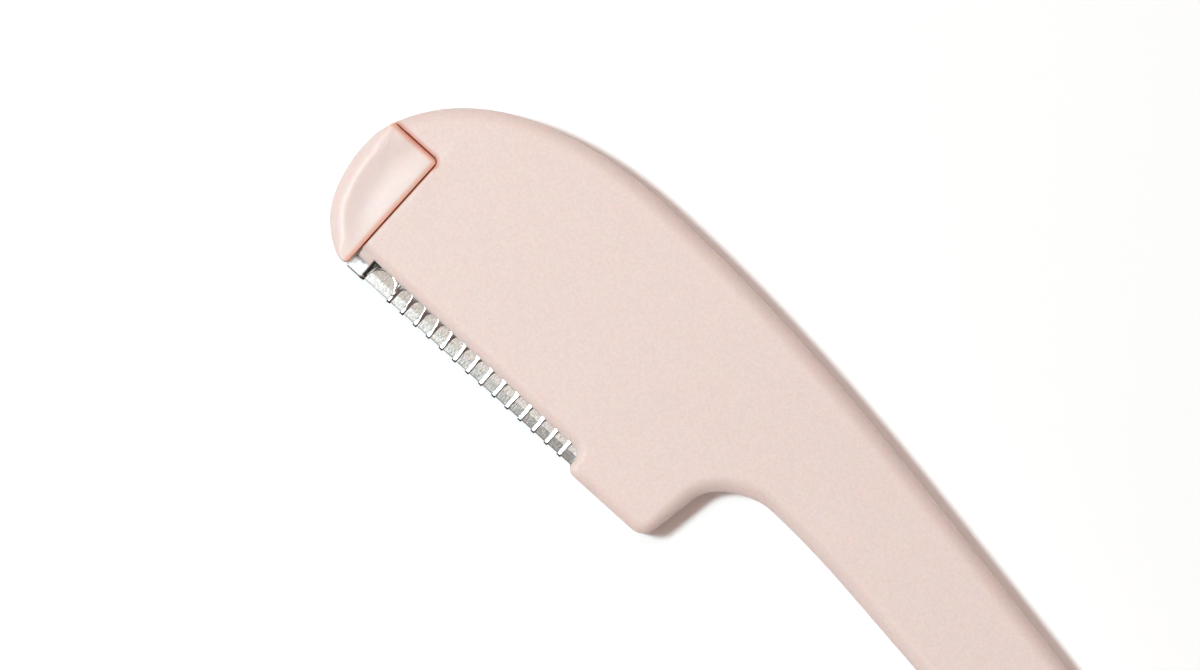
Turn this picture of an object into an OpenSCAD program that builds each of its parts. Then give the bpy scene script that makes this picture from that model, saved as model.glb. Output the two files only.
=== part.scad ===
// Eyebrow razor: a flat moulded body whose head carries a short guarded blade. The blade and its
// guard are clamped in a cartridge. Its glossy nose closes the tip of the head, and the whole
// cartridge slides out that way, along the cutting edge.
// Millimetres. X runs along the cutting edge from the nose to the handle, Y from the cutting edge
// to the back, and Z out of the upper face. The razor lies flat on its lower face.

/* [Body] */
// Overall length along the cutting edge's direction, from the nose to the end of the handle
overall_len = 140; // [130:1:155]
// Thickness from face to face
body_t = 4.7; // [4.4:0.1:5.6]
// Height of the head, from the guard's fold to the top of the back
head_h = 20.65; // [19.5:0.05:21.5]
// Distance from the seam to the highest place of the back
head_top_x = 15.4; // [14:0.1:17]
// Reach of the crown beyond the seam, where it meets the nose
crown_reach = 4.54; // [4.3:0.02:4.7]
// Steepness of the crown where it meets the nose, in degrees
crown_lean = 67; // [62:1:70]
// Radius that rounds the outer edges of the body
edge_r = 1.3; // [0.9:0.05:1.4]
// Radius that rounds the lip over the blade and the underside of the heel
lip_r = 0.8; // [0.5:0.05:1]

/* [Blade window] */
// Length of the opening that shows the blade
window_len = 24.3; // [21:0.1:26]
// Height of the lip above the guard's fold
lip_h = 1.73; // [1.5:0.01:1.9]
// Inside corner radius where the lip meets the heel
window_r = 0.3; // [0.2:0.05:0.5]

/* [Heel] */
// Length of the heel, from the blade window to its far corner
heel_len = 8; // [6:0.1:9]
// How far the heel stands below the guard's fold
heel_drop = 0.43; // [0.3:0.01:0.8]
// Height at which the heel's straight side ends
heel_side_h = 4.7; // [4:0.1:5.4]
// Lean of the heel's side from square, in degrees
heel_lean = 10; // [5:1:14]
// Radius of the heel's far corner
heel_corner_r = 1.45; // [1.4:0.05:1.8]
// Radius of the heel's corner beside the blade
heel_front_r = 0.4; // [0.3:0.05:0.5]

/* [Handle] */
// Distance from the heel's far corner to the crest of the finger notch
notch_len = 5.9; // [5:0.1:7]
// Height of the crest of the finger notch
crest_h = 8.13; // [7.5:0.01:8.8]
// Distance from the crest to the place where the grip's lower side starts
grip_low_len = 14.8; // [12:0.1:18]
// Height of the grip's lower side there
grip_low_h = 6.75; // [6.2:0.05:7.2]
// Distance from the crest to the place where the grip's back starts
grip_back_len = 6.8; // [5:0.1:9]
// Height of the grip's back there
grip_back_h = 17.87; // [17:0.01:18.5]
// Fall of the grip's lower side where it starts, in degrees
low_fall = 7; // [5:0.5:9]
// Fall of the grip's back where it starts, in degrees
back_fall = 9.4; // [8:0.1:11]
// Radius of the handle's round end
end_r = 4.4; // [3.8:0.1:5]
// How far the middle of the round end lies below the guard's fold
end_drop = 2.9; // [1:0.1:5]
// Fall of the handle at its end, in degrees
end_fall = 12; // [9:0.5:15]

/* [Nose] */
// Reach of the nose beyond the seam
nose_len = 5.34; // [5.24:0.02:5.8]
// Height of the seam's short leg above the guard's fold
nose_h = 11.09; // [10.6:0.01:11.4]
// Height of the nose's widest place
nose_wide_h = 7.9; // [7:0.1:8.4]
// Height of the nose's foot above the guard's fold
nose_foot_h = 0.13; // [0.05:0.01:0.3]
// How far the nose's faces lie below the body's faces
nose_inset = 0.1; // [0.05:0.01:0.2]
// Radius of the nose's corners at the seam
nose_corner_r = 0.55; // [0.5:0.01:0.7]
// Radius that rounds the nose's outer edge
nose_edge_r = 1.5; // [1:0.05:1.7]
// Radius that rounds the nose's edges at the seam
nose_seam_r = 0.45; // [0.3:0.05:0.5]
// Gap of the seam between the nose and the body
seam_gap = 0.15; // [0.1:0.01:0.25]
// Radius of the body's inside corner of the seam
pocket_r = 0.56; // [0.4:0.01:0.8]

/* [Cartridge rail] */
// Thickness of the rail that runs in the head
rail_t = 2; // [1.8:0.05:2.2]
// Height of the rail, across the blade
rail_w = 6; // [5.5:0.1:6.4]
// Depth of the lips that hold the rail in
lip_depth = 1.5; // [1.2:0.1:1.8]
// Thickness of the rail's neck between the lips
neck_t = 1.05; // [0.95:0.05:1.2]
// Length of the rail beyond the blade window
rail_past = 2.2; // [1.6:0.1:3]
// Running clearance around the rail
run_gap = 0.08; // [0.05:0.01:0.1]

/* [Blade] */
// Thickness of the blade strip
blade_t = 0.25; // [0.2:0.01:0.3]
// Height of the blade strip
blade_h = 6; // [5.8:0.1:6.2]
// Height of the ground bevel
bevel_h = 0.8; // [0.6:0.05:1]
// How far the cutting edge lies behind the guard's fold
edge_back = 0.12; // [0.1:0.01:0.2]

/* [Guard] */
// Thickness of the guard's foil
foil_t = 0.08; // [0.06:0.01:0.1]
// Distance from the seam to the middle of the first bar
first_bar_x = 1.66; // [1.2:0.01:2]
// Pitch of the bars
bar_pitch = 1.41; // [1.2:0.01:1.6]
// Width of a bar
bar_w = 0.4; // [0.3:0.01:0.5]
// Number of pitches spanned by the wide first window
wide_pitch_count = 2; // [1:1:3]

/* [Staked posts] */
// Radius of the posts that hold the blade
post_r = 0.8; // [0.6:0.05:0.9]
// Radius of the staked heads
post_head_r = 1.25; // [1.1:0.05:1.4]
// Thickness of the staked heads
post_head_t = 0.35; // [0.25:0.05:0.4]
// Height of the posts above the lips' inner side
post_h = 1.5; // [1.4:0.05:1.6]
// Distance of each post from its end of the rail
post_inset = 4.5; // [3.5:0.1:6]

/* [Hidden] */
$fn = 48;

// Overrun of every cut beyond what it cuts
over = 1;
// Clearance between pieces that are clamped together
fit_gap = 0.01;
// Half width of the sharpened edge's flat
edge_half = 0.01;
// Rounding of the outline where the nose's pocket cuts it away
hidden_r = 0.05;
// Steps around the rounded edge of a plate
rings = 5;

// Where a quarter turn's control points lie, as a share of its chord
arc_share = 0.39;
// Where a nearly straight span's control points lie, as a share of its chord
line_share = 1 / 3;
// Control points of the crown, and of the nose's upper and lower spans, as shares of their chords
crown_shares = [0.41, 0.33];
nose_up_shares = [0.3, 0.4];
nose_low_shares = [0.42, 0.3];
// The finger notch's middle point between the heel's side and the crest, as shares of their distance
notch_shares = [0.53, 0.81];
// Heading of the outline there, in degrees
notch_lean = 24;
// How much steeper than the crown the nose's outline starts, in degrees
nose_turn = 4;
// Rounding of the edges at the heel's front corner, as a share of that corner's radius
front_edge_share = 0.85;
// Start of the crown's cut-away end beyond the seam, as a share of the edge's radius
crown_past_share = 1.15;

mid_z = body_t / 2;
lean_run = tan(heel_lean);
heel_x = window_len + heel_len;
heel_corner = [heel_x, -heel_drop];
front_edge_r = heel_front_r * front_edge_share;
heel_side = [heel_x + (heel_side_h + heel_drop) * lean_run, heel_side_h];
heel_turn = heel_corner_r * tan((90 - heel_lean) / 2);
crest = [heel_x + notch_len, crest_h];
notch_mid = [heel_side[0] + (crest[0] - heel_side[0]) * notch_shares[0],
             heel_side[1] + (crest[1] - heel_side[1]) * notch_shares[1]];
grip_low = [crest[0] + grip_low_len, grip_low_h];
grip_back = [crest[0] + grip_back_len, grip_back_h];
end_mid = [overall_len - nose_len - end_r, -end_drop];
head_top = [head_top_x, head_h];

rail_low = lip_h + lip_depth;
rail_high = rail_low + rail_w;
rail_x = window_len + rail_past;
neck_x = window_len - seam_gap;
blade_top = blade_h + edge_back;
half_blade = blade_t / 2;
half_foil = half_blade + fit_gap;
half_pack = half_foil + foil_t;
half_bed = half_pack + fit_gap;
bevel_top = edge_back + bevel_h;
posts = [post_inset, rail_x - post_inset];
post_y = rail_low + post_h;
bar_count = floor((window_len - first_bar_x) / bar_pitch);
window_top = lip_h;

// A unit vector at an angle
function aim(a) = [cos(a), sin(a)];

// A point on the round end of the handle
function end_point(a) = end_mid + end_r * aim(a - end_fall);

// The crown ends on the seam. It is worked back from there along its lean to the outline's end.
crown_end = [-crown_reach, nose_h];
crown_past = crown_end - crown_past_share * edge_r * aim(crown_lean);

// Outline of the head and handle, counter-clockwise. Each row gives a point, its heading, the
// shares of the next span's chord at which its two control points lie, the rounding and the steps.
body_rows = [
    [[-edge_r - lip_r, lip_h], 0, line_share, line_share, hidden_r, 1],
    [[-lip_r, lip_h], 0, line_share, line_share, lip_r, 1],
    [[window_len - window_r, lip_h], 0, arc_share, arc_share, lip_r, 3],
    [[window_len, lip_h - window_r], -90, line_share, line_share, front_edge_r, 1],
    [[window_len, heel_front_r - heel_drop], -90, arc_share, arc_share, front_edge_r, 4],
    [[window_len + heel_front_r, -heel_drop], 0, line_share, line_share, front_edge_r, 4],
    [[window_len + heel_front_r + edge_r, -heel_drop], 0, line_share, line_share, lip_r, 2],
    [heel_corner - [heel_turn, 0], 0, arc_share, arc_share, lip_r, 6],
    [heel_corner + heel_turn * aim(90 - heel_lean), 90 - heel_lean, line_share, line_share, lip_r, 4],
    [heel_side, 90 - heel_lean, line_share, line_share, edge_r, 6],
    [notch_mid, notch_lean, line_share, line_share, edge_r, 4],
    [crest, 0, line_share, line_share, edge_r, 6],
    [grip_low, -low_fall, line_share, line_share, edge_r, 8],
    [end_point(-90), -end_fall, arc_share, arc_share, edge_r, 8],
    [end_point(0), 90 - end_fall, arc_share, arc_share, edge_r, 8],
    [end_point(90), 180 - end_fall, line_share, line_share, edge_r, 8],
    [grip_back, 180 - back_fall, line_share, line_share, edge_r, 8],
    [head_top, 180, crown_shares[0], crown_shares[1], edge_r, 16],
    [crown_end, 180 + crown_lean, line_share, line_share, edge_r, 2],
    [crown_past, 180 + crown_lean, line_share, line_share, hidden_r, 1]
];

nose_top = nose_h - seam_gap;
nose_lean = 180 + crown_lean + nose_turn;
nose_side = [-nose_len, nose_wide_h];
nose_shoulder = crown_end - [0, seam_gap + nose_corner_r];
nose_rows = [
    [[-seam_gap - nose_corner_r, nose_foot_h], 0, arc_share, arc_share, nose_seam_r, 5],
    [[-seam_gap, nose_foot_h + nose_corner_r], 90, line_share, line_share, nose_seam_r, 2],
    [[-seam_gap, nose_top - nose_corner_r], 90, arc_share, arc_share, nose_seam_r, 5],
    [[-seam_gap - nose_corner_r, nose_top], 180, line_share, line_share, nose_seam_r, 2],
    [[nose_shoulder[0] + nose_corner_r, nose_top], 180, arc_share, arc_share, nose_seam_r, 5],
    [nose_shoulder, nose_lean, nose_up_shares[0], nose_up_shares[1], nose_seam_r, 8],
    [nose_side, 270, nose_low_shares[0], nose_low_shares[1], nose_edge_r, 18]
];

// Points along the cubic span that leaves one row for the next: place, inward normal, rounding.
// The rounding eases from one row's to the next's.
function span_points(a, b) =
    let (chord = norm(b[0] - a[0]),
         c1 = a[0] + aim(a[1]) * chord * a[2],
         c2 = b[0] - aim(b[1]) * chord * a[3])
    [for (i = [0 : a[5] - 1])
        let (t = i / a[5],
             u = 1 - t,
             place = u * u * u * a[0] + 3 * u * u * t * c1 + 3 * u * t * t * c2 + t * t * t * b[0],
             run = u * u * (c1 - a[0]) + 2 * u * t * (c2 - c1) + t * t * (b[0] - c2),
             way = run / norm(run))
        [place, [-way[1], way[0]], a[4] + (b[4] - a[4]) * t * t * (3 - 2 * t)]];

function outline_points(rows) =
    [for (k = [0 : len(rows) - 1]) each span_points(rows[k], rows[(k + 1) % len(rows)])];

// One ring of a rounded plate: turn runs from 0 on the side to 90 degrees on the face
function ring_points(edge, turn, face_z, up) =
    [for (e = edge)
        let (flat = e[0] + e[1] * e[2] * (1 - cos(turn)))
        [flat[0], flat[1], face_z - up * e[2] * (1 - sin(turn))]];

// Twice the signed area of a triangle, positive when it runs counter-clockwise
function turn_area(a, b, c) = (b[0] - a[0]) * (c[1] - a[1]) - (b[1] - a[1]) * (c[0] - a[0]);

function in_triangle(p, a, b, c) =
    turn_area(a, b, p) >= 0 && turn_area(b, c, p) >= 0 && turn_area(c, a, p) >= 0;

// Three neighbours on a loop, the middle one at place k
function three_at(loop, k) =
    let (n = len(loop)) [loop[(k + n - 1) % n], loop[k], loop[(k + 1) % n]];

// An ear is a convex corner whose triangle holds no other point of the loop
function is_ear(points, loop, k) =
    let (t = three_at(loop, k), a = points[t[0]], b = points[t[1]], c = points[t[2]])
    turn_area(a, b, c) > 0 &&
    len([for (m = loop) if (m != t[0] && m != t[1] && m != t[2] && in_triangle(points[m], a, b, c)) m]) == 0;

function first_ear(points, loop, k = 0) =
    k >= len(loop) - 1 || is_ear(points, loop, k) ? k : first_ear(points, loop, k + 1);

// Splits a counter-clockwise loop into triangles by cutting off one ear after another
function ear_triangles(points, loop) =
    len(loop) <= 3 ? [loop] :
    let (k = first_ear(points, loop))
    concat([three_at(loop, k)],
           ear_triangles(points, [for (m = [0 : len(loop) - 1]) if (m != k) loop[m]]));

// A plate with the given outline and rounded edges between two heights
module rounded_plate(rows, low_z, high_z) {
    edge = outline_points(rows);
    n = len(edge);
    levels = 2 * (rings + 1);
    low_rings = [for (k = [rings : -1 : 0]) each ring_points(edge, 90 * k / rings, low_z, -1)];
    high_rings = [for (k = [0 : rings]) each ring_points(edge, 90 * k / rings, high_z, 1)];
    walls = [for (j = [0 : levels - 2], i = [0 : n - 1])
        let (a = j * n + i, b = j * n + (i + 1) % n, c = b + n, d = a + n)
        each [[a, d, c], [a, c, b]]];
    flat = ear_triangles(ring_points(edge, 90, low_z, -1), [for (i = [0 : n - 1]) i]);
    last = (levels - 1) * n;
    polyhedron(
        points = concat(low_rings, high_rings),
        faces = concat(flat, walls, [for (t = flat) [t[2] + last, t[1] + last, t[0] + last]]),
        convexity = 6);
}

// A box between two corners
module block(low, high) {
    translate(low) cube(high - low);
}

// A bar of one section, drawn across the blade (Y, Z), run along X
module section_bar(points, from_x, to_x) {
    translate([from_x, 0, mid_z]) rotate([90, 0, 90])
        linear_extrude(to_x - from_x) polygon(points);
}

// The space in the head's tip that the nose fills, with the seam's inside corner rounded
module nose_pocket() {
    reach = nose_len + over;
    translate([0, 0, -over]) linear_extrude(body_t + 2 * over) {
        translate([-reach, -over]) square([reach, nose_h - pocket_r + over]);
        translate([-reach, -over]) square([reach - pocket_r, nose_h + over]);
        translate([-pocket_r, nose_h - pocket_r]) circle(pocket_r);
    }
}

// The T-shaped slot that the rail runs in, and the narrow pocket for the blade's end in the heel
module rail_slot() {
    wide = rail_t / 2 + run_gap;
    narrow = neck_t / 2 + run_gap;
    slim = half_pack + run_gap;
    slot_x = rail_x + run_gap;
    block([-over, rail_low - run_gap, mid_z - wide], [slot_x, rail_high + run_gap, mid_z + wide]);
    block([-over, -over, mid_z - narrow], [window_len, rail_low, mid_z + narrow]);
    block([neck_x, -run_gap, mid_z - slim], [slot_x, rail_low, mid_z + slim]);
}

// One side of the clamped rail, from the blade's bed out to the rail's face
module rail_side(low_z, high_z, neck_low_z, neck_high_z, from_x) {
    block([from_x, rail_low, low_z], [rail_x, rail_high, high_z]);
    block([from_x, lip_h + seam_gap, neck_low_z], [neck_x, rail_low + fit_gap, neck_high_z]);
}

// Body: head, heel, finger notch and handle in one moulding
module body() {
    color([0.93, 0.85, 0.82]) lay_flat() difference() {
        rounded_plate(body_rows, 0, body_t);
        nose_pocket();
        rail_slot();
    }
}

// Cartridge carrier: the glossy nose, the lower half of the rail and the posts, in one moulding
module cartridge_carrier() {
    root_x = -seam_gap - nose_corner_r;
    color([0.94, 0.86, 0.83]) lay_flat() {
        rounded_plate(nose_rows, nose_inset, body_t - nose_inset);
        rail_side(mid_z - rail_t / 2, mid_z - half_bed, mid_z - neck_t / 2, mid_z - half_bed, root_x);
        block([root_x, blade_top + fit_gap, mid_z - half_bed],
              [rail_x, rail_high, mid_z + half_bed - fit_gap]);
        for (x = posts) translate([x, post_y, mid_z - half_bed]) {
            cylinder(r = post_r, h = half_bed + rail_t / 2 - post_head_t);
            translate([0, 0, half_bed + rail_t / 2 - post_head_t - fit_gap])
                cylinder(r = post_head_r, h = post_head_t);
        }
    }
}

// Clamp plate: the upper half of the rail, bored and counterbored for the posts
module clamp_plate() {
    color([0.9, 0.8, 0.77]) lay_flat() difference() {
        rail_side(mid_z + half_bed, mid_z + rail_t / 2, mid_z + half_bed, mid_z + neck_t / 2, 0);
        for (x = posts) translate([x, post_y, mid_z]) {
            cylinder(r = post_r + fit_gap, h = rail_t);
            translate([0, 0, rail_t / 2 - post_head_t - 2 * fit_gap])
                cylinder(r = post_head_r + fit_gap, h = rail_t);
        }
    }
}

// Blade: a steel strip ground to an edge from both sides, bored for the posts
module blade() {
    color([0.78, 0.79, 0.8]) lay_flat() difference() {
        section_bar([[blade_top, half_blade], [bevel_top, half_blade], [edge_back, edge_half],
                     [edge_back, -edge_half], [bevel_top, -half_blade], [blade_top, -half_blade]],
                    0, rail_x);
        post_holes();
    }
}

// Guard foil: thin steel folded over the edge, with a row of round-topped windows between its bars
module guard_foil() {
    color([0.9, 0.9, 0.91]) lay_flat() difference() {
        section_bar([[blade_top, half_pack], [bevel_top, half_pack], [0, foil_t],
                     [0, -foil_t], [bevel_top, -half_pack], [blade_top, -half_pack],
                     [blade_top, -half_foil], [bevel_top, -half_foil],
                     [edge_back - fit_gap, -edge_half - fit_gap],
                     [edge_back - fit_gap, edge_half + fit_gap],
                     [bevel_top, half_foil], [blade_top, half_foil]],
                    0, rail_x);
        foil_window(0, wide_pitch_count);
        for (k = [wide_pitch_count : bar_count - 1]) foil_window(k, k + 1);
        post_holes();
    }
}

// A window between two bars of the guard, counted from the first bar
module foil_window(from_bar, to_bar) {
    width = (to_bar - from_bar) * bar_pitch - bar_w;
    arch = min(width / 2, window_top);
    translate([first_bar_x + from_bar * bar_pitch + bar_w / 2, 0, 0])
        linear_extrude(body_t) {
            translate([0, -over]) square([width, window_top - arch + over]);
            translate([width / 2, window_top - arch]) circle(arch);
        }
}

// The bores for both posts through the blade and its guard
module post_holes() {
    for (x = posts) translate([x, post_y, 0]) cylinder(r = post_r + fit_gap, h = body_t);
}

// Moves the drawing plane's origin to the middle of the razor's footprint
module lay_flat() {
    translate([nose_len - overall_len / 2, (end_drop + end_r - head_h) / 2, 0]) children();
}

body();
cartridge_carrier();
clamp_plate();
blade();
guard_foil();
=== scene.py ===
# Eyebrow razor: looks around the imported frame. A matte moulded body, a glossy nose on the rail of
# the blade cartridge, a clamp plate, a ground steel blade and a pierced foil folded over its edge.
# Settings are millimetres on the drawing plane: X runs along the cutting edge from the seam to the
# handle, Y from the guard's fold to the back, Z out of the upper face. Angles are degrees.

import math

import bpy
import numpy as np
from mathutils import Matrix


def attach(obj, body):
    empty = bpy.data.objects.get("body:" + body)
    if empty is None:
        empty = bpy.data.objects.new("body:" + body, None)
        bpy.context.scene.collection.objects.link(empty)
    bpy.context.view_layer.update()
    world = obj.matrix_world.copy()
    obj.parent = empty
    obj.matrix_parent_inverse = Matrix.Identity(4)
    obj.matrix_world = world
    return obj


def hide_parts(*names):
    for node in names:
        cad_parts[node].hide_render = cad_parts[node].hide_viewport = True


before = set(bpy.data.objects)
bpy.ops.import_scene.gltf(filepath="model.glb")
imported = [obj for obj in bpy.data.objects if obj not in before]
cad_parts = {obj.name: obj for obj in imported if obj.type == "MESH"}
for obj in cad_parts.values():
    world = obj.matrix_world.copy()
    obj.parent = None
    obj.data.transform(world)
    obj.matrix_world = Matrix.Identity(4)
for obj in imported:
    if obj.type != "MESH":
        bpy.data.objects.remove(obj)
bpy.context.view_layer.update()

millimetre = 0.001
drawingShift = np.array([-64.66, -6.675, 0.0])  # drawing plane to row frame, in millimetres
thickness = 4.7
midHeight = thickness / 2
levelNormal = 0.99999  # a face counts as level from this share of Z in its normal
degreesPerPoint = 6  # on curved spans
lineShare, arcShare = 1 / 3, 0.39  # control points of a span, as shares of its chord
hair = 0.01  # by which hidden faces overlap or miss, so that no two coincide
sharpDegrees = 40  # shading splits at edges sharper than this
colourA, colourB, colourOut = 6, 7, 2  # sockets of a Mix node for colours
noiseSpan = (0.35, 0.65)  # where most of a noise texture's values lie


# Shared helpers


def toLinear(hexText):
    # sRGB to linear: c / 12.92 up to 0.04045, else ((c + 0.055) / 1.055) to the power 2.4
    c = np.array([int(hexText[k:k + 2], 16) for k in (0, 2, 4)]) / 255
    return (*np.where(c <= 0.04045, c / 12.92, ((c + 0.055) / 1.055) ** 2.4).tolist(), 1.0)


def addNode(tree, kind, inputs=None, **settings):
    # one node: settings go on the node, inputs on its sockets, and an input that is a socket is linked
    node = tree.nodes.new(kind)
    for name, value in settings.items():
        setattr(node, name, value)
    for name, value in (inputs or {}).items():
        if isinstance(value, bpy.types.NodeSocket):
            tree.links.new(value, node.inputs[name])
        else:
            node.inputs[name].default_value = value
    return node


def smooth(t):
    # a share eased at both ends: t^2 (3 - 2 t)
    return t * t * (3 - 2 * t)


def fade(value, zeroAt, oneAt):
    # a share that runs straight from 0 at one place to 1 at another
    return np.clip((value - zeroAt) / (oneAt - zeroAt), 0, 1)


def newMaterial(name):
    material = bpy.data.materials.new(name)
    material.use_nodes = True
    material.node_tree.nodes.clear()
    return material, material.node_tree


def newPiece(name, points, faceGroups):
    # points in millimetres on the drawing plane, faces as arrays of point numbers
    places = (np.asarray(points, float).reshape(-1, 3) + drawingShift) * millimetre
    faces = [face for group in faceGroups for face in np.asarray(group).tolist()]
    mesh = bpy.data.meshes.new(name)
    mesh.from_pydata(places.tolist(), [], faces)
    mesh.validate()
    piece = bpy.data.objects.new(name, mesh)
    bpy.context.scene.collection.objects.link(piece)
    return piece


def gridFaces(rows, columns, wrap):
    # quads of a grid whose point number is row * columns + column, the last column joined if wrapped
    row = np.arange(rows - 1)[:, None]
    column = np.arange(columns if wrap else columns - 1)[None, :]
    a = row * columns + column
    b = row * columns + (column + 1) % columns
    return np.stack([a, b, b + columns, a + columns], -1).reshape(-1, 4)


def tubeFaces(levels, n):
    # a closed tube of stacked rings of n points: its wall and two flat ends
    ring = np.arange(n)
    return [gridFaces(levels, n, True), [ring[::-1]], [ring + (levels - 1) * n]]


def applyModifiers(piece):
    mesh = bpy.data.meshes.new_from_object(piece.evaluated_get(bpy.context.evaluated_depsgraph_get()))
    piece.modifiers.clear()
    piece.data = mesh


def cutOrJoin(piece, other, operation):
    # exact boolean with another piece, which is used up
    step = piece.modifiers.new("step", "BOOLEAN")
    step.operation = operation
    step.solver = "EXACT"
    step.object = other
    applyModifiers(piece)
    bpy.data.objects.remove(other)


def shade(piece):
    # smooth, but split along sharp edges, and level faces stay level up to their rims
    mesh = piece.data
    normals = np.empty(len(mesh.polygons) * 3, np.float32)
    mesh.polygons.foreach_get("normal", normals)
    mesh.shade_smooth()
    mesh.polygons.foreach_set("use_smooth", np.abs(normals[2::3]) < levelNormal)
    mesh.set_sharp_from_angle(angle=math.radians(sharpDegrees))


def dress(piece, body, material, replaced):
    piece.data.materials.clear()
    piece.data.materials.append(material)
    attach(piece, body)
    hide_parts(*replaced)
    print("made", piece.name, len(piece.data.polygons), "faces")


# Outlines: curved spans between rows, as in the moulding's drawing


def aim(degrees):
    return np.array([math.cos(math.radians(degrees)), math.sin(math.radians(degrees))])


def outlinePoints(rows, step):
    # Row: point, heading, shares of the next span's chord for its two control points, rounding.
    # Span: u^3 a + 3 u^2 t c1 + 3 u t^2 c2 + t^3 b with u = 1 - t. The inward normal is the run
    # turned left, and the rounding eases from row to row by t^2 (3 - 2 t).
    parts = []
    for (a, headA, outShare, inShare, roundA), (b, headB, _, _, roundB) in zip(rows, rows[1:] + rows[:1]):
        a, b = np.array(a, float), np.array(b, float)
        chord = np.linalg.norm(b - a)
        c1 = a + aim(headA) * chord * outShare
        c2 = b - aim(headB) * chord * inShare
        turn = abs((headB - headA + 180) % 360 - 180)
        count = max(int(chord / step), int(turn / degreesPerPoint), 1)
        t = np.arange(count)[:, None] / count
        u = 1 - t
        place = u ** 3 * a + 3 * u * u * t * c1 + 3 * u * t * t * c2 + t ** 3 * b
        run = u * u * (c1 - a) + 2 * u * t * (c2 - c1) + t * t * (b - c2)
        run /= np.linalg.norm(run, axis=1, keepdims=True)
        rounding = roundA + (roundB - roundA) * smooth(t)
        parts.append(np.hstack([place, -run[:, 1:], run[:, :1], rounding]))
    table = np.concatenate(parts)
    return table[:, :2], table[:, 2:4], table[:, 4]


def edgeRings(edge, turns, faceHeight, up):
    # rings of a rounded edge: in by w (1 - cos turn), down from the face by w (1 - sin turn)
    place, inward, w = edge
    turn = np.radians(turns)[:, None]
    inset = w * (1 - np.cos(turn))
    flat = place + inward * inset[..., None]
    height = faceHeight - up * w * (1 - np.sin(turn))
    return np.concatenate([flat, height[..., None]], -1)


def sectionBar(section, fromX, toX):
    # a section drawn across the blade (Y, height above the middle), carried along X, ends closed
    section = np.array(section, float)
    area = np.sum(section[:, 0] * np.roll(section[:, 1], -1) - np.roll(section[:, 0], -1) * section[:, 1])
    if area < 0:
        section = section[::-1]
    points = np.array([[(x, y, midHeight + z) for y, z in section] for x in (fromX, toX)])
    return points, tubeFaces(2, len(section))


def lathe(profile, middle, sides):
    # a profile (radius, height) carried round an upright axis, closed by flat ends
    profile = np.array(profile, float)
    angle = np.linspace(0, 2 * np.pi, sides, endpoint=False)
    points = np.stack([
        middle[0] + profile[:, :1] * np.cos(angle),
        middle[1] + profile[:, :1] * np.sin(angle),
        np.repeat(profile[:, 1:], sides, 1)], -1)
    return points, tubeFaces(len(profile), sides)


# Materials


glowSizes = {"corner": 0.5, "top": 11.07, "climb": 0.7, "deep": 1.4, "shallow": 0.5, "deepShare": 0.3}


def paintedSeamGlow(tree, coords, near, reach, highReach, rise):
    # Painted glow and shade: a warm glow that stands in for light trapped in the seam between nose and
    # body, and the darker colour of the gap, painted into the plastic along its edges. Distance from the
    # pocket's outline, a corner rounded by r: |max(q, 0)| + min(max(qx, qy), 0) - r, where q = p - corner
    # + r. The share is 1 up to near and 0 from reach on, or from highReach where q climbs past rise, and
    #   it pales down the walls of the pocket.
    s = glowSizes
    radius = s["corner"]
    corner = ((drawingShift + (-radius, s["top"] - radius, 0)) * (1, 1, 0) * millimetre).tolist()
    flat = addNode(tree, "ShaderNodeVectorMath", {0: coords, 1: (1, 1, 0)}, operation="MULTIPLY")
    q = addNode(tree, "ShaderNodeVectorMath", {0: flat.outputs["Vector"], 1: corner}, operation="SUBTRACT")
    beyond = addNode(tree, "ShaderNodeVectorMath", {0: q.outputs["Vector"]}, operation="MAXIMUM")
    outside = addNode(tree, "ShaderNodeVectorMath", {0: beyond.outputs["Vector"]}, operation="LENGTH")
    parts = addNode(tree, "ShaderNodeSeparateXYZ", {0: q.outputs["Vector"]})
    larger = addNode(tree, "ShaderNodeMath", {0: parts.outputs["X"], 1: parts.outputs["Y"]},
                     operation="MAXIMUM")
    inside = addNode(tree, "ShaderNodeMath", {0: larger.outputs[0], 1: 0}, operation="MINIMUM")
    both = addNode(tree, "ShaderNodeMath", {0: outside.outputs["Value"], 1: inside.outputs[0]},
                   operation="ADD")
    away = addNode(tree, "ShaderNodeMath", {0: both.outputs[0], 1: radius * millimetre},
                   operation="SUBTRACT")
    size = addNode(tree, "ShaderNodeMath", {0: away.outputs[0]}, operation="ABSOLUTE")
    reachThere = addNode(tree, "ShaderNodeMapRange", {
        "Value": parts.outputs["Y"], "From Min": rise * millimetre,
        "From Max": (rise + s["climb"]) * millimetre,
        "To Min": reach * millimetre, "To Max": highReach * millimetre})
    glow = addNode(tree, "ShaderNodeMapRange", {
        "Value": size.outputs[0], "From Min": near * millimetre,
        "From Max": reachThere.outputs["Result"], "To Min": 1.0, "To Max": 0.0},
        interpolation_type="SMOOTHSTEP")
    level = addNode(tree, "ShaderNodeSeparateXYZ", {0: coords})
    middle = addNode(tree, "ShaderNodeMath", {0: level.outputs["Z"], 1: midHeight * millimetre},
                     operation="SUBTRACT")
    height = addNode(tree, "ShaderNodeMath", {0: middle.outputs[0]}, operation="ABSOLUTE")
    shown = addNode(tree, "ShaderNodeMapRange", {
        "Value": height.outputs[0], "From Min": (midHeight - s["deep"]) * millimetre,
        "From Max": (midHeight - s["shallow"]) * millimetre,
        "To Min": s["deepShare"], "To Max": 1.0})
    faded = addNode(tree, "ShaderNodeMath", {0: glow.outputs["Result"], 1: shown.outputs["Result"]},
                    operation="MULTIPLY")
    return faded.outputs[0]


absIndex = 1.52  # refraction of ABS
absSpread = (1.0, 0.25, 0.12)  # light spreads furthest in red, so thin and shaded places look warm


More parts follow.
